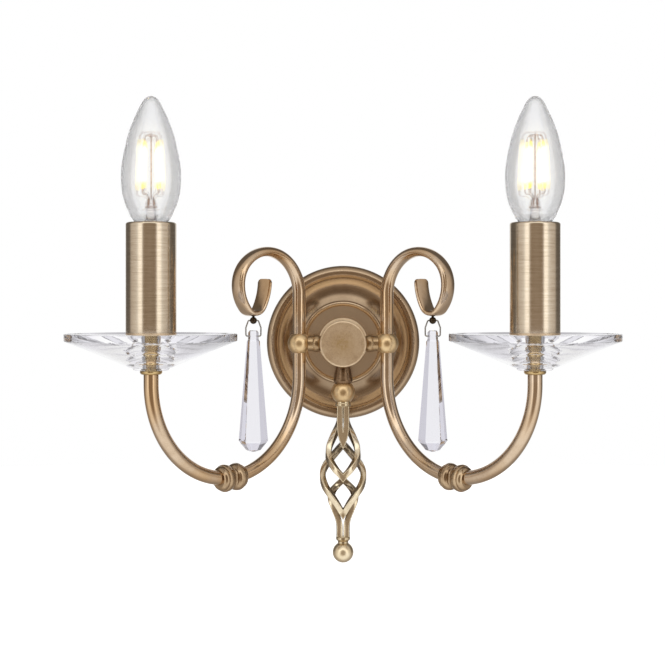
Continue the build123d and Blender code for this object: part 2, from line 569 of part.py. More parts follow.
with BuildPart() as cage_ferrule:
    with BuildSketch(Plane(origin=(0, arm_y, 0), x_dir=(1, 0, 0), z_dir=(0, -1, 0))):
        Polygon((2.53, -36.0), (4.7, -36.0), (4.9, -38.6), (5.1, -39.0), (5.1, -40.2), (4.8, -40.58), (0, -40.58), (0, -39.65), (2.53, -39.65), align=None)
    revolve(axis=Axis((0, arm_y, 0), (0, 0, 1)))
    with Locations((0, arm_y, drop_ball_z)):
        Sphere(ball_r + 0.22, mode=Mode.SUBTRACT)
cage_ferrule.part.label = "cage_ferrule"


def cage_pts(pts):
    return [(x, arm_y + y, z) for x, y, z in pts]


long_path = cage_pts([(-2.1, -2.0, cage_top_z), (-2.1, -2.0, -54.5), (-1.6, -2.9, -60.5), (-0.75, -0.4, -65.8), (-2.3, 5.0, -69.6), (-8.2, 7.0, -76.2),
                      (-13.3, 0.3, -85.0), (-11.2, -5.6, -92.3), (-6.4, -7.6, -98.8), (-1.3, -6.0, -106.6), (-0.7, -4.75, -113.0)])
upper_path = cage_pts([(-2.1, 2.0, cage_top_z), (-2.1, 2.0, -52.5), (-6.4, 2.6, -60.6), (-9.5, 0.2, -69.2), (-8.2, -5.4, -76.0), (-4.0, -8.6, -81.6),
                       (-0.5, -9.6, -86.4)])
lower_path = cage_pts([(-2.35, -1.0, cage_bot_z), (-2.35, -1.0, -117.5), (-4.7, -0.6, -110.0), (-7.7, 1.2, -102.0), (-6.9, 5.6, -97.0), (-3.9, 8.0, -93.6),
                       (-0.5, 8.8, -90.4)])
with BuildPart() as cage_long_rods:
    with BuildLine() as c1:
        FilletPolyline(*long_path, radius=2.6)
    with BuildSketch(Plane(origin=c1.line @ 0, x_dir=(1, 0, 0), z_dir=c1.line % 0)):
        RectangleRounded(bar, bar, 0.6)
    sweep(transition=Transition.RIGHT)
    mirror(about=Plane.YZ)
cage_long_rods.part.label = "cage_long_rods"
with BuildPart() as cage_upper_loop:
    with BuildLine() as c2:
        FilletPolyline(*upper_path, radius=3.0)
    with BuildSketch(Plane(origin=c2.line @ 0, x_dir=(1, 0, 0), z_dir=c2.line % 0)):
        RectangleRounded(bar, bar, 0.6)
    sweep(transition=Transition.RIGHT)
    mirror(about=Plane.YZ)
cage_upper_loop.part.label = "cage_upper_loop"
with BuildPart() as cage_lower_loop:
    with BuildLine() as c3:
        FilletPolyline(*lower_path, radius=2.8)
    with BuildSketch(Plane(origin=c3.line @ 0, x_dir=(1, 0, 0), z_dir=c3.line % 0)):
        RectangleRounded(bar, bar, 0.6)
    sweep(transition=Transition.RIGHT)
    mirror(about=Plane.YZ)
cage_lower_loop.part.label = "cage_lower_loop"
print("cage rods: volume / (section x length x 2)",
      [round(p.part.volume / (2 * sum(e.length for e in l.line.edges()) * bar * bar), 3) for p, l in ((cage_long_rods, c1), (cage_upper_loop, c2), (cage_lower_loop, c3))])

with BuildPart() as cage_collar:
    with BuildSketch(Plane(origin=(0, arm_y, 0), x_dir=(1, 0, 0), z_dir=(0, -1, 0))):
        Polygon((0, -125.02), (4.2, -125.02), (4.6, -125.5), (4.6, -127.0), (4.0, -127.6), (3.4, -128.2), (3.4, -131.0), (0, -131.0), align=None)
    revolve(axis=Axis((0, arm_y, 0), (0, 0, 1)))
    with Locations((0, arm_y, finial_z)):
        Sphere(finial_r + 0.02, mode=Mode.SUBTRACT)
cage_collar.part.label = "cage_collar"

with BuildPart() as finial_ball:
    with Locations((0, arm_y, finial_z)):
        Sphere(finial_r)
finial_ball.part.label = "finial_ball"

# ---------------------------------------------------------------- connections behind the plate
with BuildPart() as terminal_block:
    with BuildSketch(Plane.XZ.offset(bracket_t + 0.02)):
        with Locations((-20, 0)):
            RectangleRounded(13, 23, 1.0)
    extrude(amount=8.3)
    with BuildSketch(Plane.YZ.offset(-22)):
        with Locations((-3.3, 9.2), (-3.3, 6.8), (-3.3, -6.8), (-3.3, -9.2), (-5.9, 0)):
            Circle(0.9)
    extrude(amount=9, mode=Mode.SUBTRACT)
    with BuildSketch(Plane.XZ.offset(7.0)):
        with Locations((-20, 8), (-20, 0), (-20, -8)):
            Circle(1.75)
    extrude(amount=4, mode=Mode.SUBTRACT)
terminal_block.part.label = "terminal_block"

with BuildPart() as clamp_screws:
    with BuildSketch(Plane.XZ.offset(7.05)):
        with Locations((-20, 8), (-20, 0), (-20, -8)):
            Circle(1.6)
            Rectangle(0.5, 2.6, mode=Mode.SUBTRACT)
    extrude(amount=2.2)
clamp_screws.part.label = "clamp_screws"

with BuildPart() as earth_screw:
    with BuildSketch(Plane.XZ.offset(0.25)):
        with Locations((0, -18)):
            Circle(1.6)
    extrude(amount=5.0)
    with BuildSketch(Plane.XZ.offset(5.0)):
        with Locations((0, -18)):
            Circle(3.1)
    extrude(amount=2.0)
    with BuildSketch(Plane.XZ.offset(6.2)):
        with Locations((0, -18)):
            Rectangle(4.2, 0.7)
            Rectangle(0.7, 4.2)
    extrude(amount=1.5, mode=Mode.SUBTRACT)
earth_screw.part.label = "earth_screw"


def wire_points(sx, x0, zt, n, zhub):
    """one wire on side sx (-1 left, 1 right): block, back of the plate, hub, ball, inner arm"""
    xs, xe = -sx * x0, -sx * (ball_x + n * s2)
    yr = arm_y - n * s2
    return [(-20.5, -3.3, zt), (xs, -3.3, zt), (xs, -3.3, zhub), (xs, yr, zhub), (xe, yr, zhub), (xe, yr, bend_z)]


def flip(v, sx):
    return Vector(-v.X, v.Y, v.Z) if sx > 0 else v


def wire_part(sx, x0, zt, n, zhub):
    pts = wire_points(sx, x0, zt, n, zhub)
    with BuildPart() as w:
        with BuildLine() as wl:
            FilletPolyline(*pts, radius=[2.0, 2.2, 3.0, 2.0])
            off = nrm_dir * n
            ThreePointArc(flip(bend_pt(180) + off, sx), flip(bend_pt(270) + off, sx), flip(bend_pt(360) + off, sx))
            Line(flip(bend_pt(360) + off, sx), flip(arm_pt(2 * bend_r, 43.9, n), sx))
        with BuildSketch(Plane(origin=wl.line @ 0, z_dir=wl.line % 0)):
            Circle(wire_r)
        sweep()
    run = sum(e.length for e in wl.line.edges())
    print("wire volume / (section x length):", round(w.part.volume / (math.pi * wire_r ** 2 * run), 4), "length", round(run, 1))
    return w.part


live_l = wire_part(-1, -1.3, 6.8, 1.25, 0.9)
live_r = wire_part(1, -1.3, 9.2, 1.25, 0.9)
neut_l = wire_part(-1, -1.3, -6.8, -1.25, -0.9)
neut_r = wire_part(1, -1.3, -9.2, -1.25, -0.9)
with BuildPart() as live_wires:
    add(live_l)
    add(live_r)
live_wires.part.label = "live_wires"
with BuildPart() as neutral_wires:
    add(neut_l)
    add(neut_r)
neutral_wires.part.label = "neutral_wires"
with BuildPart() as earth_wire:
    with BuildLine() as ew:
        FilletPolyline((-20.5, -5.9, 0), (-10.2, -5.9, 0), (-10.2, -5.9, -13.6), (-6.8, -3.9, -17.9), (-1.7, -3.4, -18.05), radius=[2.4, 2.0, 1.8])
    with BuildSketch(Plane(origin=ew.line @ 0, z_dir=ew.line % 0)):
        Circle(wire_r)
    sweep()
earth_wire.part.label = "earth_wire"

# ---------------------------------------------------------------- write the pieces; right-hand pieces are mirror images
fixed = [wall_bracket, side_screws, wall_plate, hub_nipple, hub_nut, hub_body, hub_cap, arm_nipples, arm_collars, dish_washers,
         arm_end_nipples, dish_spacers, lampholder_shells, lampholder_contacts, drop_hooks, drop_stub, drop_stud, drop_ball,
         cage_ferrule, cage_long_rods, cage_upper_loop, cage_lower_loop, cage_collar, finial_ball, terminal_block, clamp_screws,
         earth_screw, live_wires, neutral_wires, earth_wire]
for name in fixed:
    export_step(name.part, "parts/" + name.part.label + ".step")

for name in [arm_ball_left, inner_arm_left, outer_arm_left, knuckle_left, glass_dish_left, holder_base_left, lampholder_body_left,
             candle_tube_left, bulb_glass_left, bulb_cap_left, bulb_contact_left, bulb_stem_left, bulb_filaments_left,
             drop_bow_left, crystal_drop_left]:
    export_step(name.part, "parts/" + name.part.label + ".step")
    with BuildPart() as right:
        add(mirror(name.part, about=Plane.YZ, mode=Mode.PRIVATE))
    right.part.label = name.part.label.replace("_left", "_right")
    export_step(right.part, "parts/" + right.part.label + ".step")
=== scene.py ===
import bpy
import bmesh
import math
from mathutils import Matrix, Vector


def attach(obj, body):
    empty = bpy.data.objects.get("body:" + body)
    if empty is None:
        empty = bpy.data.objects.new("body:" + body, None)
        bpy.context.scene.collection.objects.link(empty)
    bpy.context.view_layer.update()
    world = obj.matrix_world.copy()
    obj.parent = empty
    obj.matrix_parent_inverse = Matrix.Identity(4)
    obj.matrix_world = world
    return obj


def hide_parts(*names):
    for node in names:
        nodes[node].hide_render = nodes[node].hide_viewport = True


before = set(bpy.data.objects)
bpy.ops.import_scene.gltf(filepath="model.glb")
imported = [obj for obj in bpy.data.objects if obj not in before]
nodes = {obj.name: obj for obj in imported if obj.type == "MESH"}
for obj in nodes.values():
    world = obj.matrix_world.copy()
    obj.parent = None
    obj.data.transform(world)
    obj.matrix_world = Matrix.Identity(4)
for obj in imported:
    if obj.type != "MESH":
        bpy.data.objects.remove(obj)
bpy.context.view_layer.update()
scene = bpy.context.scene
scene.view_settings.view_transform = "Standard"
scene.view_settings.look = "None"
scene.cycles.max_bounces = 32
scene.cycles.transmission_bounces = 32
scene.cycles.glossy_bounces = 24

S2 = 1 / math.sqrt(2)
MM = 0.001
CX, CY = -28.4 - 120.4 * S2, -40 - 120.4 * S2      # left candle axis, mm
HX, HY = -28.4 - 39.7 * S2, -40 - 39.7 * S2        # left crystal axis, mm


# ---------------------------------------------------------------- camera
cam_data = bpy.data.cameras.new("camera")
cam = bpy.data.objects.new("camera", cam_data)
scene.collection.objects.link(cam)
scene.camera = cam
cam.location = (0, -1.010, 0.0268)
cam.rotation_euler = (math.radians(90), 0, 0)
cam_data.sensor_width = 36.0
cam_data.lens = 80.99
cam_data.shift_x = -0.0159
cam_data.shift_y = -0.0436
cam_data.clip_start = 0.01
cam_data.clip_end = 60


# ---------------------------------------------------------------- node tree helper
class Shader:
    """A principled material whose nodes are added one by one."""

    def __init__(self, name):
        self.mat = bpy.data.materials.new(name)
        self.mat.use_nodes = True
        self.nt = self.mat.node_tree
        self.bsdf = self.nt.nodes["Principled BSDF"]

    def add(self, kind, ins=None, **props):
        n = self.nt.nodes.new(kind)
        for k, v in props.items():
            setattr(n, k, v)
        for k, v in (ins or {}).items():
            self.put(v, n.inputs[k])
        return n

    def put(self, value, socket):
        if isinstance(value, bpy.types.NodeSocket):
            self.nt.links.new(value, socket)
        else:
            socket.default_value = value

    def set(self, **kw):
        for k, v in kw.items():
            self.put(v, self.bsdf.inputs[k.replace("_", " ")])

    def math(self, op, a, b=0.0, c=0.0, clamp=False):
        n = self.add("ShaderNodeMath", operation=op, use_clamp=clamp)
        for i, v in enumerate((a, b, c)):
            self.put(v, n.inputs[i])
        return n.outputs[0]

    def coords(self):
        return self.add("ShaderNodeTexCoord").outputs["Object"]

    def xyz(self, vec):
        n = self.add("ShaderNodeSeparateXYZ", {0: vec})
        return n.outputs[0], n.outputs[1], n.outputs[2]

    def vec(self, x, y, z):
        return self.add("ShaderNodeCombineXYZ", {0: x, 1: y, 2: z}).outputs[0]

    def noise(self, vec, scale, detail=3.0, rough=0.5, distort=0.0):
        return self.add("ShaderNodeTexNoise", {"Vector": vec, "Scale": scale, "Detail": detail, "Roughness": rough, "Distortion": distort}).outputs[0]

    def ramp(self, fac, *stops):
        n = self.add("ShaderNodeValToRGB", {0: fac})
        full = [(p, c if len(c) == 4 else (*c, 1)) for p, c in stops]
        el = n.color_ramp.elements
        el[1].position, el[1].color = full[-1]
        el[0].position, el[0].color = full[0]
        for p, c in full[1:-1]:
            el.new(p).color = c
        return n.outputs[0]

    def span(self, v, lo, hi, a=0.0, b=1.0):
        return self.add("ShaderNodeMapRange", {0: v, 1: lo, 2: hi, 3: a, 4: b}, clamp=True).outputs[0]

    def mix(self, fac, a, b, mode="MIX"):
        n = self.add("ShaderNodeMix", data_type="RGBA", blend_type=mode)
        self.put(fac, n.inputs[0])
        self.put(a, n.inputs[6])
        self.put(b, n.inputs[7])
        return n.outputs[2]

    def bump(self, height, strength, distance):
        b = self.add("ShaderNodeBump", {"Strength": strength, "Distance": distance, "Height": height})
        self.put(b.outputs[0], self.bsdf.inputs["Normal"])

    def radius(self, a, b):
        return self.math("SQRT", self.math("ADD", self.math("MULTIPLY", a, a), self.math("MULTIPLY", b, b)))


def brass(name, dark, mid, light, rough=(0.2, 0.3), brush=None, centre=(0, 0), mottle=55.0, patina_and_shade=0.55, lines=0.35, bump=0.12, extra=None, spread=0.26, drift=None):
    """Aged brass under lacquer. brush: "rings" lines round a vertical axis at centre, "turned" lines round the Y axis at centre, "grain" none."""
    s = Shader(name)
    co = s.coords()
    x, y, z = s.xyz(co)
    if brush == "rings":
        fine_vec = s.vec(s.math("MULTIPLY", s.math("SUBTRACT", x, centre[0]), 55.0), s.math("MULTIPLY", s.math("SUBTRACT", y, centre[1]), 55.0),
                         s.math("MULTIPLY", z, 1250.0))
        fine = s.noise(fine_vec, 1.0, 4.0, 0.75)
    elif brush == "turned":
        r = s.radius(s.math("SUBTRACT", x, centre[0]), s.math("SUBTRACT", z, centre[1]))
        fine_vec = s.vec(s.math("MULTIPLY", r, 1500.0), s.math("MULTIPLY", y, 1500.0), s.noise(co, 40.0, 2.0))
        fine = s.noise(fine_vec, 1.0, 4.0, 0.6)
    else:
        fine = s.noise(co, 1300.0, 3.0, 0.6)
    cloud = s.noise(co, mottle, 5.0, 0.6, 0.4)
    speck = s.noise(co, 420.0, 3.0, 0.6)
    tone = s.math("ADD", s.math("MULTIPLY", cloud, 1.0 - lines), s.math("MULTIPLY", fine, lines))
    tone = s.math("ADD", s.math("MULTIPLY", tone, 0.9), s.math("MULTIPLY", speck, 0.1))
    col = s.ramp(tone, (0.5 - spread, dark), (0.5, mid), (0.5 + spread, light))
    if drift:
        col = s.mix(s.span(s.noise(co, 30.0, 3.0, 0.5), 0.44, 0.62, 0.0, 0.5), col, drift)
    if patina_and_shade:
        # dark tarnish in hollows plus painted shade: the colour goes deep brown where the ambient occlusion node finds
        # the surface enclosed by this part or by neighbouring parts
        ao = s.add("ShaderNodeAmbientOcclusion", {"Distance": 0.007}, samples=6, only_local=False)
        occlusion_shade = s.span(ao.outputs["AO"], 0.25, 0.85)
        tarnish_and_shade_col = s.mix(patina_and_shade, col, (dark[0] * 0.34, dark[1] * 0.31, dark[2] * 0.28, 1))
        col = s.mix(occlusion_shade, tarnish_and_shade_col, col)
    if extra:
        col = extra(s, col, x, y, z)
    s.set(Base_Color=col, Metallic=1.0, Roughness=s.span(s.math("ADD", s.math("MULTIPLY", fine, 0.6), s.math("MULTIPLY", cloud, 0.4)), 0.3, 0.7, *rough))
    s.set(Coat_Weight=0.12, Coat_Roughness=0.18)
    height = s.math("ADD", fine, s.math("MULTIPLY", speck, 0.5))
    s.bump(height, bump, 0.00006)
    return s.mat


def rgb(r, g, b):
    """sRGB 0-255 to linear"""
    f = lambda v: (v / 255 / 12.92) if v <= 10 else ((v / 255 + 0.055) / 1.055) ** 2.4
    return (f(r), f(g), f(b), 1)


arm_brass = brass("arm_brass", rgb(165, 139, 111), rgb(208, 185, 158), rgb(230, 211, 189), rough=(0.09, 0.15), mottle=42.0, lines=0.25, bump=0.05, spread=0.30,
                  drift=rgb(212, 172, 120))
ball_brass = brass("ball_brass", rgb(172, 142, 104), rgb(222, 192, 146), rgb(240, 216, 172), rough=(0.27, 0.34), mottle=60.0, lines=0.15, bump=0.04)
collar_brass = brass("collar_brass", rgb(128, 102, 72), rgb(176, 148, 112), rgb(206, 180, 142), rough=(0.2, 0.3), mottle=90.0, lines=0.2, bump=0.06)
knuckle_brass = brass("knuckle_brass", rgb(128, 104, 78), rgb(182, 156, 124), rgb(216, 194, 160), rough=(0.14, 0.22), mottle=90.0, lines=0.2, bump=0.05)


def bar_tone_and_painted_light(s, col, x, y, z):
    """lighter gold on the outward faces and darker on the faces turned towards the cage axis, side-facing faces
    darkened as painted shade, and light gold edges that are partly rubbed wear and partly painted highlight
    """
    geo = s.add("ShaderNodeNewGeometry")
    nx, ny, nz = s.xyz(geo.outputs["Normal"])
    ry = s.math("ADD", y, 0.040)
    dot = s.math("ADD", s.math("MULTIPLY", nx, x), s.math("MULTIPLY", ny, ry))
    face = s.math("DIVIDE", dot, s.math("MAXIMUM", s.radius(x, ry), 0.002))
    # darker on the faces turned towards the cage axis
    col = s.mix(s.span(face, 0.15, -0.55, 0.0, 0.66), col, rgb(112, 92, 70))
    # painted shade: faces turned sideways are darkened
    col = s.mix(s.span(s.math("ABSOLUTE", nx), 0.5, 0.85, 0.0, 0.55), col, rgb(104, 84, 64))
    # light gold edges: partly rubbed wear, partly painted highlight
    edge = s.span(geo.outputs["Pointiness"], 0.53, 0.60)
    return s.mix(s.math("MULTIPLY", edge, 0.8), col, rgb(250, 236, 200))


cage_brass = brass("cage_brass", rgb(182, 162, 134), rgb(228, 212, 182), rgb(246, 236, 212), rough=(0.14, 0.22), mottle=90.0, patina_and_shade=0.7, extra=bar_tone_and_painted_light)
ferrule_brass = brass("ferrule_brass", rgb(164, 142, 112), rgb(214, 196, 162), rgb(238, 224, 192), rough=(0.14, 0.22), mottle=90.0, patina_and_shade=0.7)
finial_brass = brass("finial_brass", rgb(194, 172, 140), rgb(234, 216, 182), rgb(248, 234, 206), rough=(0.26, 0.33), mottle=60.0, lines=0.15, bump=0.04)


def plate_tone_and_painted_light(s, col, x, y, z):
    """a darker band in the recess as painted shade, a painted highlight line on the bead, a painted light band in the
    cove inside the rim, the inner disc painted lighter against its dark reflection, and a darker outer rim
    """
    r = s.radius(x, z)
    # painted shade: the recess band is darkened
    recess = s.math("MULTIPLY", s.span(r, 0.0268, 0.0280), s.span(r, 0.0390, 0.0350))
    col = s.mix(s.math("MULTIPLY", recess, 0.5), col, rgb(104, 82, 60))
    # painted highlight: a light line round the bead
    bead = s.math("MULTIPLY", s.span(r, 0.0252, 0.0258), s.span(r, 0.0268, 0.0262))
    col = s.mix(s.math("MULTIPLY", bead, 0.55), col, rgb(224, 204, 172))
    # painted highlight: a light band round the cove inside the rim
    cove = s.math("MULTIPLY", s.span(r, 0.0365, 0.0400), s.span(r, 0.0436, 0.0424))
    col = s.mix(s.math("MULTIPLY", cove, 0.62), col, rgb(226, 212, 192))
    # painted light: the inner disc is lightened to offset its dark reflection
    inner = s.span(r, 0.0262, 0.0246)
    col = s.mix(s.math("MULTIPLY", inner, 0.55), col, rgb(218, 202, 180))
    rim = s.math("MULTIPLY", s.span(r, 0.0436, 0.0446), s.span(r, 0.0502, 0.0494))
    col = s.mix(s.math("MULTIPLY", rim, 0.4), col, rgb(138, 112, 84))
    return col


plate_brass = brass("plate_brass", rgb(150, 127, 102), rgb(194, 170, 141), rgb(218, 197, 168), rough=(0.16, 0.25), brush="turned", mottle=38.0, lines=0.22,
                    patina_and_shade=0.3, bump=0.07, extra=plate_tone_and_painted_light, drift=rgb(164, 136, 106))
stub_brass = brass("stub_brass", rgb(92, 72, 52), rgb(132, 106, 80), rgb(170, 142, 110), rough=(0.22, 0.34), mottle=60.0, lines=0.2, bump=0.06)


def cap_golden_middle(s, col, x, y, z):
    """golden, blotchy middle"""
    r = s.radius(x, z)
    mid = s.span(r, 0.0095, 0.0015)
    wob = s.noise(s.vec(s.math("MULTIPLY", x, 420.0), s.math("MULTIPLY", y, 420.0), s.math("MULTIPLY", z, 420.0)), 1.0, 4.0, 0.65)
    return s.mix(s.math("MULTIPLY", mid, s.span(wob, 0.35, 0.65, 0.15, 0.6)), col, rgb(196, 160, 88))


hub_brass = brass("hub_brass", rgb(196, 166, 132), rgb(232, 208, 174), rgb(244, 226, 198), rough=(0.34, 0.46), brush="grain", mottle=140.0, lines=0.5,
                  bump=0.1, extra=cap_golden_middle)
tube_brass_l = brass("tube_brass_left", rgb(178, 161, 138), rgb(212, 196, 173), rgb(230, 217, 198), rough=(0.13, 0.2), brush="rings", spread=0.22,
                     centre=(CX * MM, CY * MM), mottle=18.0, lines=0.62, patina_and_shade=0.25, bump=0.085)
tube_brass_r = brass("tube_brass_right", rgb(178, 161, 138), rgb(212, 196, 173), rgb(230, 217, 198), rough=(0.13, 0.2), brush="rings", spread=0.22,
                     centre=(-CX * MM, CY * MM), mottle=18.0, lines=0.62, patina_and_shade=0.25, bump=0.085)
bright_brass = brass("bright_brass", rgb(156, 128, 84), rgb(210, 182, 130), rgb(236, 214, 168), rough=(0.16, 0.28), mottle=120.0, patina_and_shade=0.35)
hook_bronze = brass("hook_bronze", rgb(34, 27, 20), rgb(62, 50, 36), rgb(104, 86, 60), rough=(0.22, 0.36), mottle=260.0, patina_and_shade=0.4)


def steel(name, dark, light, rough=(0.3, 0.48), scale=90.0):
    s = Shader(name)
    co = s.coords()
    cloud = s.noise(co, scale, 5.0, 0.65, 0.8)
    fine = s.noise(co, 1400.0, 3.0, 0.6)
    col = s.ramp(s.math("ADD", s.math("MULTIPLY", cloud, 0.7), s.math("MULTIPLY", fine, 0.3)), (0.36, dark), (0.64, light))
    s.set(Base_Color=col, Metallic=1.0, Roughness=s.span(cloud, 0.3, 0.7, *rough))
    s.bump(fine, 0.1, 0.00005)
    return s.mat


zinc = steel("zinc_plated", rgb(150, 152, 154), rgb(206, 208, 208))
nickel = steel("satin_nickel", rgb(160, 154, 146), rgb(214, 208, 198), rough=(0.2, 0.32))
bow_steel = steel("bow_wire", rgb(120, 118, 112), rgb(196, 192, 184), rough=(0.12, 0.24), scale=400.0)


def plastic(name, a, b, rough=(0.42, 0.58), scale=160.0, stripe=None):
    s = Shader(name)
    co = s.coords()
    cloud = s.noise(co, scale, 4.0, 0.6)
    grain = s.noise(co, 1800.0, 2.0, 0.5)
    col = s.ramp(cloud, (0.35, a), (0.65, b))
    if stripe:
        x, y, z = s.xyz(co)
        along = s.math("ADD", s.math("ADD", x, z), s.math("MULTIPLY", y, 0.6))
        band = s.math("PINGPONG", s.math("MULTIPLY", along, 520.0), 1.0)
        col = s.mix(s.span(band, 0.45, 0.55), col, stripe)
    s.set(Base_Color=col, Roughness=s.span(grain, 0.3, 0.7, *rough))
    s.bump(grain, 0.12, 0.00004)
    return s.mat


white_plastic = plastic("white_plastic", rgb(226, 222, 210), rgb(240, 238, 230))
wire_brown = plastic("wire_brown", rgb(86, 50, 30), rgb(112, 68, 42), rough=(0.3, 0.42))
wire_blue = plastic("wire_blue", rgb(36, 74, 150), rgb(52, 98, 182), rough=(0.3, 0.42))
wire_earth = plastic("wire_green_yellow", rgb(52, 130, 62), rgb(66, 150, 74), rough=(0.3, 0.42), stripe=rgb(222, 206, 60))


def clear(name, tint, ior, smear=0.0, wave=0.0):
    """Clear glass with a faint unevenness from pressing or cutting."""
    s = Shader(name)
    co = s.coords()
    slow = s.noise(co, 90.0, 2.0, 0.5)
    col = s.ramp(slow, (0.3, tint), (0.7, tuple(min(1.0, c * 1.015) for c in tint[:3]) + (1,)))
    s.set(Base_Color=col, Roughness=s.span(s.noise(co, 500.0, 2.0), 0.3, 0.7, 0.0, smear), IOR=ior)
    s.bsdf.inputs["Transmission Weight"].default_value = 1.0
    if wave:
        s.bump(slow, wave, 0.0004)
    return s.mat


def bulb_tint(name):
    """clear lamp glass, a little grey towards the neck and the tip, with painted shade greying it towards its outline
    and a painted dark edge at grazing angles
    """
    s = Shader(name)
    co = s.coords()
    x, y, z = s.xyz(co)
    ends = s.math("MAXIMUM", s.span(z, 0.096, 0.086), s.span(z, 0.120, 0.134))
    # painted shade: the glass greys towards its outline
    edge = s.add("ShaderNodeLayerWeight", {0: 0.5}).outputs["Facing"]
    grey = s.math("MAXIMUM", s.math("MULTIPLY", ends, 0.8), s.span(edge, 0.12, 0.30))
    col = s.mix(grey, (1.0, 0.99, 0.955, 1), (0.885, 0.89, 0.895, 1))
    # painted shade: a dark edge where the glass is seen at grazing angles
    rim = s.span(edge, 0.62, 0.95)
    col = s.mix(rim, col, (0.4, 0.41, 0.43, 1))
    s.set(Base_Color=col, Roughness=s.span(s.noise(co, 300.0, 2.0), 0.3, 0.7, 0.0, 0.01), IOR=1.46, Alpha=s.math("ADD", s.math("MULTIPLY", rim, 0.4), 0.6))
    s.bsdf.inputs["Transmission Weight"].default_value = 1.0
    return s.mat


dish_glass = clear("dish_glass", (0.995, 0.992, 1.0, 1), 1.42, 0.012, 0.12)
crystal_glass = clear("crystal_glass", (0.875, 0.872, 0.915, 1), 1.56, 0.006)
lamp_glass = bulb_tint("lamp_glass")
stem_glass = clear("lamp_stem_glass", (0.95, 0.92, 0.90, 1), 1.46, 0.03, 0.1)


# ---------------------------------------------------------------- lit filament, seen through its phosphor coat
fil = Shader("led_filament")
fx, fy, fz = fil.xyz(fil.coords())
f_end = fil.math("MAXIMUM", fil.span(fz, 0.0985, 0.0955), fil.span(fz, 0.1170, 0.1200))
f_grain = fil.noise(fil.vec(fil.math("MULTIPLY", fx, 900.0), fil.math("MULTIPLY", fy, 900.0), fil.math("MULTIPLY", fz, 900.0)), 1.0, 2.0)
f_col = fil.mix(f_end, (1.0, 0.93, 0.70, 1), (0.93, 0.80, 0.12, 1))
fil.set(Base_Color=fil.ramp(f_grain, (0.3, rgb(232, 206, 96)), (0.7, rgb(250, 228, 130))), Roughness=0.6, Emission_Color=f_col)
fil.put(fil.span(f_end, 0.0, 1.0, 1.7, 0.75), fil.bsdf.inputs["Emission Strength"])
filament = fil.mat
copper = steel("copper_lead", rgb(178, 134, 106), rgb(236, 204, 176), rough=(0.2, 0.34), scale=300.0)


# ---------------------------------------------------------------- assign materials to the carried-over nodes
def dress(o, mat):
    if not o.data.materials:
        o.data.materials.append(mat)
    for i in range(len(o.data.materials)):
        o.data.materials[i] = mat


special = {
    "wall_plate": plate_brass, "hub_body": hub_brass, "hub_cap": hub_brass, "arm_collars": collar_brass, "drop_stub": stub_brass,
    "drop_ball": ball_brass, "cage_ferrule": ferrule_brass, "cage_long_rods": cage_brass, "cage_upper_loop": cage_brass,
    "cage_lower_loop": cage_brass, "cage_collar": ferrule_brass, "finial_ball": finial_brass, "dish_washers": bright_brass,
    "dish_spacers": bright_brass, "arm_end_nipples": bright_brass, "drop_hooks": hook_bronze, "terminal_block": white_plastic, "live_wires": wire_brown,
    "neutral_wires": wire_blue, "earth_wire": wire_earth, "lampholder_shells": bright_brass, "lampholder_contacts": bright_brass,
    "candle_tube_left": tube_brass_l, "candle_tube_right": tube_brass_r,
}
for name, o in nodes.items():
    if name in special:
        m = special[name]
    elif name.startswith("arm_ball"):
        m = ball_brass
    elif name.startswith(("inner_arm", "outer_arm")):
        m = arm_brass
    elif name.startswith("knuckle"):
        m = knuckle_brass
    elif name.startswith("holder_base"):
        m = hub_brass
    elif name.startswith("glass_dish"):
        m = dish_glass
    elif name.startswith("crystal"):
        m = crystal_glass
    elif name.startswith("bulb_glass"):
        m = lamp_glass
    elif name.startswith("bulb_stem"):
        m = stem_glass
    elif name.startswith("bulb_filaments"):
        m = filament
    elif name.startswith(("bulb_cap", "bulb_contact")):
        m = nickel
    elif name.startswith("drop_bow"):
        m = bow_steel
    elif name.startswith("lampholder_body"):
        m = white_plastic
    else:
        m = zinc
    dress(o, m)


# ---------------------------------------------------------------- swept bars and wires
def smooth_line(pts, per=10):
    """points on a Catmull-Rom curve through pts"""
    q = [Vector(p) for p in pts]
    q = [q[0] * 2 - q[1]] + q + [q[-1] * 2 - q[-2]]
    out = []
    for i in range(1, len(q) - 2):
        a, b, c, d = q[i - 1], q[i], q[i + 1], q[i + 2]
        for k in range(per):
            t = k / per
            out.append(0.5 * (2 * b + (c - a) * t + (2 * a - 5 * b + 4 * c - d) * t * t + (3 * b - a - 3 * c + d) * t ** 3))
    out.append(q[-2])
    return out


def sweep_into(bm, line, outline, outs=None):
    """sweeps a closed outline of (along out, along side) offsets along a line; outs gives the outward direction at each point"""
    rings = []
    for i, p in enumerate(line):
        t = (line[min(i + 1, len(line) - 1)] - line[max(i - 1, 0)]).normalized()
        o = outs[i] if outs else (Vector((0, 0, 1)) if abs(t.z) < 0.9 else Vector((1, 0, 0)))
        o = (o - t * o.dot(t)).normalized()
        side = t.cross(o)
        rings.append([bm.verts.new(p + o * a + side * b) for a, b in outline])
    n = len(outline)
    for r0, r1 in zip(rings, rings[1:]):
        for j in range(n):
            bm.faces.new((r0[j], r0[(j + 1) % n], r1[(j + 1) % n], r1[j]))
    bm.faces.new(list(reversed(rings[0])))
    bm.faces.new(rings[-1])


def round_outline(r, n=10):
    return [(r * math.cos(2 * math.pi * k / n), r * math.sin(2 * math.pi * k / n)) for k in range(n)]


def square_outline(w, r, per=3):
    pts = []
    for q in range(4):
        mx, my = ((1, 1), (-1, 1), (-1, -1), (1, -1))[q]
        for k in range(per + 1):
            a = math.radians(90 * q + 90 * k / per)
            pts.append((mx * (w / 2 - r) + r * math.cos(a), my * (w / 2 - r) + r * math.sin(a)))
    return pts


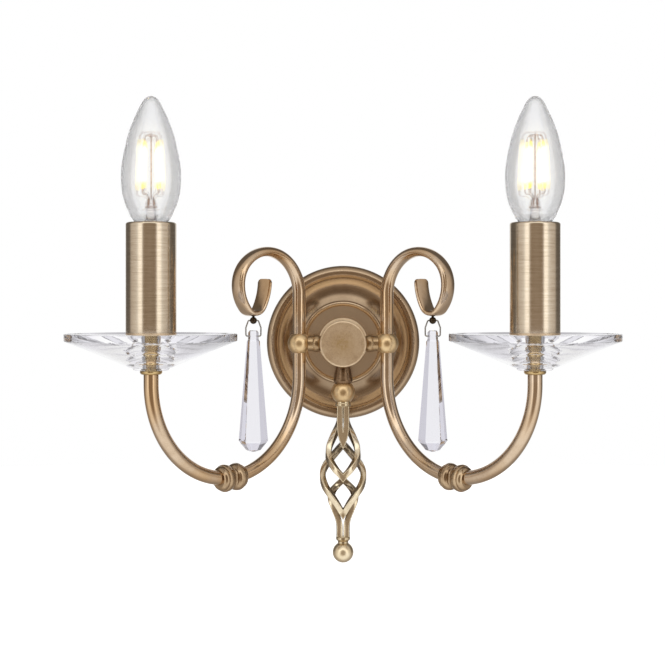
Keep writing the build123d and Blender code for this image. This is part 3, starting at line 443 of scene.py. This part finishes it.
def finish_mesh(bm, name, mat, body, smooth=35):
    bmesh.ops.recalc_face_normals(bm, faces=bm.faces)
    mesh = bpy.data.meshes.new(name)
    bm.to_mesh(mesh)
    bm.free()
    for p in mesh.polygons:
        p.use_smooth = True
    mesh.set_sharp_from_angle(angle=math.radians(smooth))
    mesh.materials.append(mat)
    o = bpy.data.objects.new(name, mesh)
    scene.collection.objects.link(o)
    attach(o, body)
    return o


def cage_piece(name, strands, node):
    """bars on the left of the middle plane, cut there and mirrored, so that they meet in points"""
    bm = bmesh.new()
    for pts, outs in strands:
        line = smooth_line([Vector((x, y - 40.0, z)) * MM for x, y, z in pts])
        dirs = smooth_line(outs)
        sweep_into(bm, line, square_outline(3.8 * MM, 0.55 * MM), [d.normalized() for d in dirs])
    bmesh.ops.bisect_plane(bm, geom=bm.verts[:] + bm.edges[:] + bm.faces[:], dist=1e-7, plane_co=(0, 0, 0), plane_no=(1, 0, 0), clear_outer=True)
    twin = bmesh.ops.duplicate(bm, geom=bm.verts[:] + bm.edges[:] + bm.faces[:])
    copies = [v for v in twin["geom"] if isinstance(v, bmesh.types.BMVert)]
    for v in copies:
        v.co.x = -v.co.x
    bmesh.ops.reverse_faces(bm, faces=[f for f in twin["geom"] if isinstance(f, bmesh.types.BMFace)])
    bmesh.ops.remove_doubles(bm, verts=[v for v in bm.verts if abs(v.co.x) < 1e-6], dist=1e-6)
    o = finish_mesh(bm, name, cage_brass, "root")
    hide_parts(node)
    return o


F, B = (0, -1, 0), (0, 1, 0)
cage_piece("cage_long_bars", [
    ([(-2.1, -2.0, -40.6), (-2.1, -2.1, -47.0), (-2.05, -2.3, -53.0), (-1.5, -2.7, -58.5), (-0.2, -2.8, -63.2), (1.9, -2.6, -68.2)],
     [F, F, F, F, F, F]),
    ([(1.9, 0.2, -62.6), (-0.6, 2.4, -66.0), (-4.2, 5.6, -70.6), (-8.6, 6.6, -76.0), (-12.2, 3.9, -81.4), (-13.2, -0.6, -86.6), (-11.4, -5.2, -92.2),
      (-7.4, -7.4, -98.0), (-3.6, -6.4, -103.8), (-0.8, -4.9, -108.8), (1.9, -4.5, -113.2)],
     [(-0.2, 1, 0), (-0.3, 1, 0), (-0.6, 1, 0), (-1, 0.7, 0), (-1, 0.3, 0), (-1, -0.1, 0), (-0.9, -0.5, 0), (-0.6, -1, 0), (-0.3, -1, 0), (-0.1, -1, 0), F]),
], "cage_long_rods")
cage_piece("cage_upper_bars", [
    ([(-2.1, 2.0, -40.6), (-2.1, 2.0, -47.0), (-2.7, 2.2, -53.0), (-6.0, 2.5, -60.2), (-9.0, 0.6, -67.6), (-9.0, -3.6, -74.0), (-5.4, -8.0, -80.0),
      (-1.6, -9.4, -84.2), (2.1, -9.9, -88.6)],
     [B, B, (-0.5, 1, 0), (-1, 0.6, 0), (-1, 0.1, 0), (-1, -0.5, 0), (-0.6, -1, 0), (-0.2, -1, 0), F]),
], "cage_upper_loop")
cage_piece("cage_lower_bars", [
    ([(-2.35, -1.0, -125.0), (-2.35, -1.0, -119.0), (-3.1, -0.9, -114.0), (-5.6, -0.2, -107.4), (-7.7, 1.8, -101.4), (-6.9, 5.4, -96.6), (-3.6, 8.0, -92.6),
      (2.1, 9.2, -87.6)],
     [(-1, -0.2, 0), (-1, -0.2, 0), (-1, -0.1, 0), (-1, 0.1, 0), (-1, 0.4, 0), (-0.7, 1, 0), (-0.3, 1, 0), B]),
], "cage_lower_loop")


# ---------------------------------------------------------------- lamp insides: lit filaments, their tabs, support wires and leads
for side, ax in (("left", CX), ("right", -CX)):
    centre = Vector((ax, CY, 0))
    rods, mount = bmesh.new(), bmesh.new()

    def at(r, deg, z):
        a = math.radians(deg)
        return (centre + Vector((r * math.cos(a), r * math.sin(a), z))) * MM

    for k in range(4):
        deg = 57 + 90 * k
        lo, hi = at(6.5, deg, 93.6), at(5.3, deg, 121.6)
        steps = 14
        line, radii = [], []
        for i in range(steps + 1):
            t = i / steps
            line.append(lo.lerp(hi, t))
            radii.append(1.05 * MM * (0.65 + 0.35 * min(1.0, t * 9, (1 - t) * 9)))
        rings = []
        d = (hi - lo).normalized()
        e = d.orthogonal().normalized()
        f = d.cross(e)
        for p, r in zip(line, radii):
            rings.append([rods.verts.new(p + (e * math.cos(a) + f * math.sin(a)) * r) for a in [2 * math.pi * j / 12 for j in range(12)]])
        for r0, r1 in zip(rings, rings[1:]):
            for j in range(12):
                rods.faces.new((r0[j], r0[(j + 1) % 12], r1[(j + 1) % 12], r1[j]))
        rods.faces.new(list(reversed(rings[0])))
        rods.faces.new(rings[-1])
        sweep_into(mount, [at(6.58, deg, 91.6), at(6.5, deg, 93.9)], round_outline(0.42 * MM, 8))
        sweep_into(mount, [at(5.3, deg, 121.3), at(5.2, deg, 123.4), at(4.4, deg, 125.0), at(1.2, deg, 125.7)], round_outline(0.4 * MM, 8))
        lead = smooth_line([at(1.3, deg, 83.0), at(1.6, deg, 87.6), at(3.6, deg, 90.4), at(5.8, deg, 90.8), at(6.58, deg, 91.9)], 5)
        sweep_into(mount, lead, round_outline(0.3 * MM, 8))
    sweep_into(mount, [at(0, 0, 87.5), at(0, 0, 126.4)], round_outline(0.27 * MM, 8))
    for ring_r, ring_z, wire in ((3.3, 83.0, 0.45), (3.4, 125.4, 0.4)):
        loop = [at(ring_r, 15 * k, ring_z + 0.25 * math.sin(math.radians(45 * k))) for k in range(25)]
        outs = [(p - (centre + Vector((0, 0, ring_z))) * MM).normalized() for p in loop]
        sweep_into(mount, loop, round_outline(wire * MM, 8), outs)
    lit = finish_mesh(rods, "lit_filaments_" + side, filament, "bulb_" + side, 60)
    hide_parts("bulb_filaments_" + side)
    wires = finish_mesh(mount, "filament_mount_" + side, copper, "bulb_" + side, 60)


# ---------------------------------------------------------------- surroundings: what the metal and the glass reflect
world = bpy.data.worlds.new("studio")
scene.world = world
world.use_nodes = True
wt = world.node_tree
for n in list(wt.nodes):
    wt.nodes.remove(n)


class WorldTree(Shader):
    def __init__(self, tree):
        self.nt = tree


w = WorldTree(wt)
direction = w.add("ShaderNodeTexCoord").outputs["Generated"]
dx, dy, dz = w.xyz(direction)
psi = w.math("DIVIDE", w.math("ARCCOSINE", w.math("MULTIPLY", dy, -1.0)), math.pi)   # 0 camera side, 1 behind
g = lambda v, warm=0.0: (v * (1 + 0.5 * warm), v * (1 - 0.3 * warm), v * (1 - warm), 1)
high = w.ramp(psi, (0.0, g(0.34, 0.25)), (0.145, g(0.29, 0.3)), (0.175, g(0.6, 0.1)), (0.20, g(1.6)), (0.28, g(1.5)), (0.32, g(0.9)), (0.38, g(0.76, 0.06)),
              (0.52, g(0.6, 0.1)), (0.585, g(0.16, 0.12)), (0.80, g(0.14, 0.12)), (0.87, g(0.9)), (1.0, g(1.0)))
deep = w.ramp(psi, (0.0, g(0.33, 0.3)), (0.13, g(0.31, 0.3)), (0.18, g(0.72, 0.1)), (0.24, g(1.15)), (0.40, g(1.05)), (0.50, g(0.6, 0.1)),
              (0.62, g(0.38, 0.1)), (0.80, g(0.38, 0.1)), (0.87, g(0.9)), (1.0, g(1.0)))
env = w.mix(w.span(dz, -0.28, 0.0), deep, high)
v3 = lambda v: (v * 0.985, v * 0.975, v * 1.03, 1)
glass = w.ramp(psi, (0.0, v3(0.5)), (0.25, v3(0.8)), (0.42, v3(0.6)), (0.55, v3(0.25)), (0.66, v3(0.31)), (0.76, v3(0.62)), (0.84, v3(0.94)), (0.88, g(1.0)), (1.0, g(1.0)))
glass = w.mix(w.span(dz, -0.72, -0.84), glass, g(0.95))
path = w.add("ShaderNodeLightPath")
through = w.mix(path.outputs["Is Transmission Ray"], env, glass)
seen = w.mix(path.outputs["Is Camera Ray"], through, g(1.0))
bg = w.add("ShaderNodeBackground", {0: seen, 1: 1.0})
out = w.add("ShaderNodeOutputWorld", {0: bg.outputs[0]})


# ---------------------------------------------------------------- floor and lights
fs = Shader("floor_pale")
fn = fs.noise(fs.coords(), 6.0, 3.0)
fs.set(Base_Color=fs.ramp(fn, (0.3, (0.90, 0.90, 0.90, 1)), (0.7, (0.93, 0.93, 0.93, 1))), Roughness=0.9)
fs.set(Emission_Color=(1, 1, 1, 1))
fs.bsdf.inputs["Emission Strength"].default_value = 0.7
bm = bmesh.new()
bmesh.ops.create_circle(bm, cap_ends=True, segments=96, radius=9.0)
floor_mesh = bpy.data.meshes.new("floor")
bm.to_mesh(floor_mesh)
bm.free()
floor = bpy.data.objects.new("floor", floor_mesh)
floor.location = (0, 0, -1.05)
scene.collection.objects.link(floor)
floor_mesh.materials.append(fs.mat)
floor.visible_glossy = False
floor.visible_transmission = False


def softbox(name, at, aim, size, energy, colour=(1, 1, 1)):
    data = bpy.data.lights.new(name, "AREA")
    data.shape = "RECTANGLE"
    data.size, data.size_y = size
    data.energy = energy
    data.color = colour
    o = bpy.data.objects.new(name, data)
    scene.collection.objects.link(o)
    o.location = at
    o.rotation_euler = (Vector(aim) - Vector(at)).to_track_quat("-Z", "Y").to_euler()
    o.visible_camera = False
    o.visible_glossy = False
    o.visible_transmission = False
    return o


softbox("soft_left", (-1.6, -1.5, 1.0), (0, -0.08, 0), (1.2, 1.2), 14)
softbox("soft_right", (1.6, -1.5, 0.8), (0, -0.08, 0), (1.2, 1.2), 10)
softbox("soft_top", (0, -0.4, 2.0), (0, -0.08, 0), (1.6, 1.6), 12)
